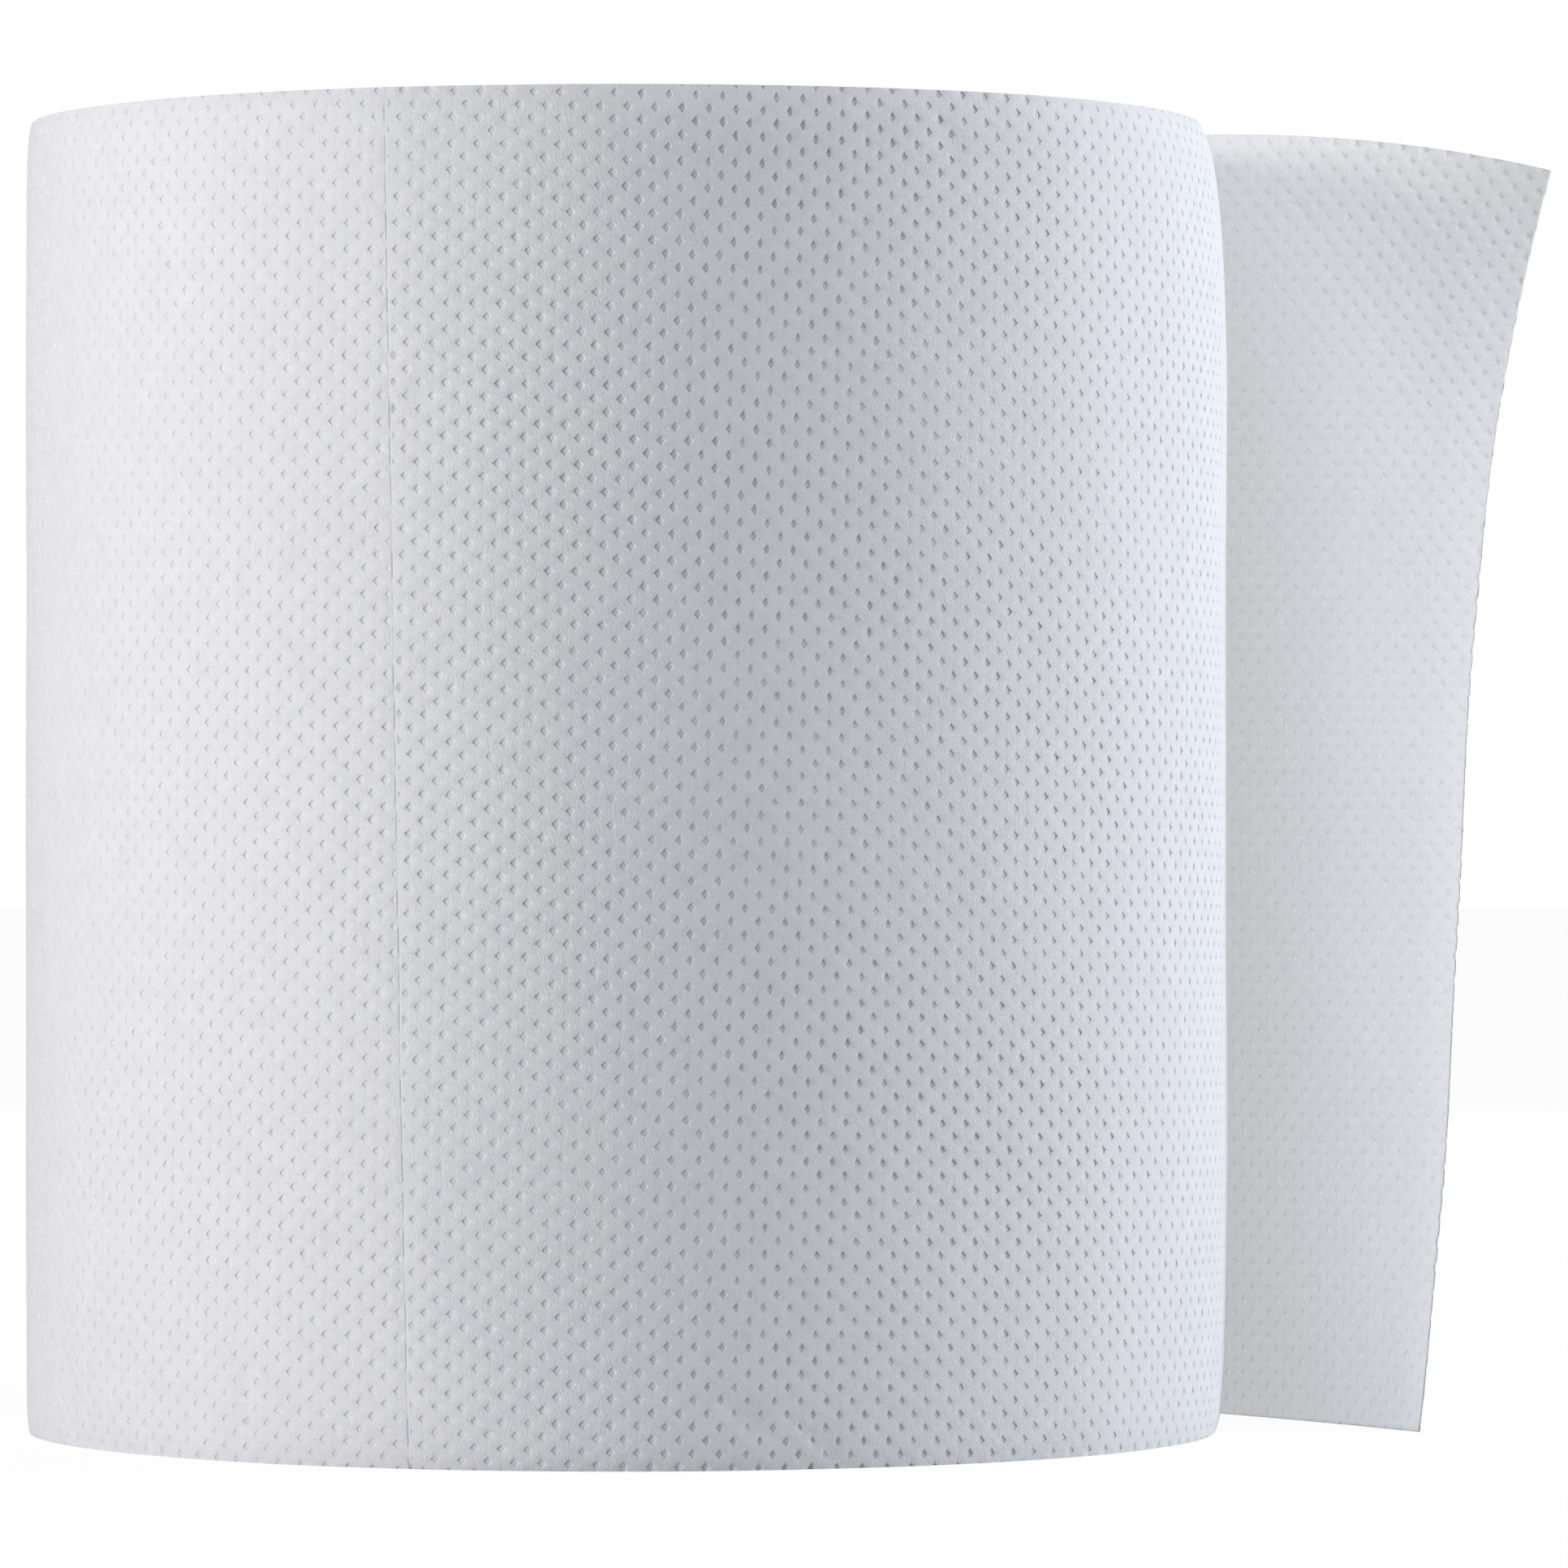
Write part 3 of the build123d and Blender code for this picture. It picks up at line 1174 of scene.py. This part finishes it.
@dataclass
class Studio:
    """The camera, lamps, world and floor."""

    focal_pixels: float = 11400.0
    frame_pixels: float = 1932.0
    camera_place: tuple[float, float, float] = (0.0239, -1.4245, 0.09907)
    ambient: float = 0.03
    floor_half: float = 6.0
    floor_colour: Colour = (0.50, 0.50, 0.505)
    floor_white: float = 1.04
    floor_share: float = 0.93
    lamps: tuple[Softbox, ...] = (
        Softbox("left_box", -66.0, 1.25, 0.30, 0.6, 0.45, 6.9, (1.0, 0.945, 0.94)),
        Softbox("left_fill", -44.0, 1.25, 0.34, 0.35, 0.5, 5.7, (0.955, 0.975, 1.0)),
        Softbox("right_box", 88.0, 1.25, 0.50, 0.5, 0.7, 14.8, (0.945, 0.97, 1.0)),
        Softbox("back_box", 178.0, 1.25, 0.50, 0.5, 0.7, 6.0, (0.93, 0.95, 1.0)),
        Softbox("top_box", 10.0, 0.15, 1.35, 0.6, 0.6, 2.2, (0.97, 0.98, 1.0)),
    )

    def build(self) -> None:
        """Makes all of them."""
        self.camera()
        for lamp in self.lamps:
            self.lamp(lamp)
        self.world()
        self.floor()
        bpy.context.scene.view_settings.view_transform = "Standard"

    def camera(self) -> None:
        """Makes the camera, level with the roll's middle."""
        data = bpy.data.cameras.new("camera")
        data.sensor_width = 36.0
        data.lens = self.focal_pixels / self.frame_pixels * data.sensor_width
        data.clip_start = 0.05
        data.clip_end = 60.0
        camera = bpy.data.objects.new("camera", data)
        camera.location = self.camera_place
        camera.rotation_euler = (math.pi / 2.0, 0.0, 0.0)
        bpy.context.scene.collection.objects.link(camera)
        bpy.context.scene.camera = camera

    def lamp(self, box: Softbox) -> None:
        """Hangs one lamp and turns it to the roll's middle."""
        data = bpy.data.lights.new(box.name, "AREA")
        data.shape = "RECTANGLE"
        data.size = box.width
        data.size_y = box.length
        data.energy = box.watts
        data.color = box.colour
        lamp = bpy.data.objects.new(box.name, data)
        angle = math.radians(box.azimuth)
        lamp.location = (box.distance * math.sin(angle), -box.distance * math.cos(angle), box.height)
        toward = Vector((0.0, 0.0, 0.1)) - lamp.location
        lamp.rotation_euler = toward.to_track_quat("-Z", "Y").to_euler()
        bpy.context.scene.collection.objects.link(lamp)

    def _seen(self, graph: Graph) -> Signal:
        """1 for rays that show the background: from the camera, in a gloss or through glass."""
        path = graph.node("ShaderNodeLightPath")
        return (path[0] + path[3] + path[6]).ramp(0.0, 0.5)

    def world(self) -> None:
        """A white background over a soft even light."""
        world = bpy.data.worlds.new("studio")
        graph = fresh_graph(world)
        cool, clear = (0.98, 0.99, 1.0, 1.0), (1.0, 1.0, 1.0, 1.0)
        soft = graph.node("ShaderNodeBackground", None, {"Color": cool, "Strength": self.ambient})[0]
        white = graph.node("ShaderNodeBackground", None, {"Color": clear, "Strength": 1.0})[0]
        both = graph.node("ShaderNodeMixShader", None, {0: self._seen(graph), 1: soft, 2: white})[0]
        graph.node("ShaderNodeOutputWorld", None, {"Surface": both})
        bpy.context.scene.world = world

    def floor(self) -> None:
        """A plain pale floor that keeps a soft shadow."""
        made = bpy.data.materials.new("floor")
        graph = fresh_graph(made)
        pale = graph.node("ShaderNodeBsdfDiffuse", None, {"Color": (*self.floor_colour, 1.0)})[0]
        glow = {"Color": (1.0, 1.0, 1.0, 1.0), "Strength": self.floor_white}
        white = graph.node("ShaderNodeEmission", None, glow)[0]
        share = self._seen(graph) * self.floor_share
        both = graph.node("ShaderNodeMixShader", None, {0: share, 1: pale, 2: white})[0]
        graph.node("ShaderNodeOutputMaterial", None, {"Surface": both})
        half = self.floor_half
        mesh = bpy.data.meshes.new("floor")
        corners = [(-half, -half, 0.0), (half, -half, 0.0), (half, half, 0.0), (-half, half, 0.0)]
        mesh.from_pydata(corners, [], [(0, 1, 2, 3)])
        mesh.materials.append(made)
        add_piece("floor", mesh)


@dataclass
class TowelRoll:
    """The whole roll, made and handed to the frame."""

    web: Web = field(default_factory=Web)
    emboss: Emboss = field(default_factory=Emboss)

    def hand_over(self, piece: Object, node: str) -> None:
        """Ties a piece to the frame in place of a node, and reports it."""
        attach(piece, "root")
        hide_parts(node)
        triangles = sum(len(face.vertices) - 2 for face in piece.data.polygons)
        LOG.info("%s: %d triangles", piece.name, triangles)

    def build(self) -> None:
        """Makes every piece of the roll."""
        paper = PaperFinish().material()
        edges = PaperFinish(name="towel_paper_edges", edge_on=True).material()
        hanging = PaperFinish(name="towel_paper_loose", through=0.78).material()
        wraps = Wraps(self.web, self.emboss)
        for panel in wraps.build(paper):
            self.hand_over(panel, "towel_web")
        perforations = Perforations(self.web)
        for number in range(1, self.web.perforations + 1):
            self.hand_over(perforations.build(number, paper), "towel_web")
        turns = Turns(self.web).build(edges)
        self.hand_over(turns, "towel_web")
        loose = LooseEnd(self.web, self.emboss, wraps).build(hanging)
        self.hand_over(loose, "towel_web")
        self.emboss.clear()
        self.hand_over(CoreTube().build(BoardFinish().material()), "core_tube")


def main() -> None:
    """Builds the roll, then the studio."""
    logging.basicConfig(level=logging.INFO, format="%(name)s %(message)s")
    TowelRoll().build()
    Studio().build()


if __name__ == "__main__":
    main()
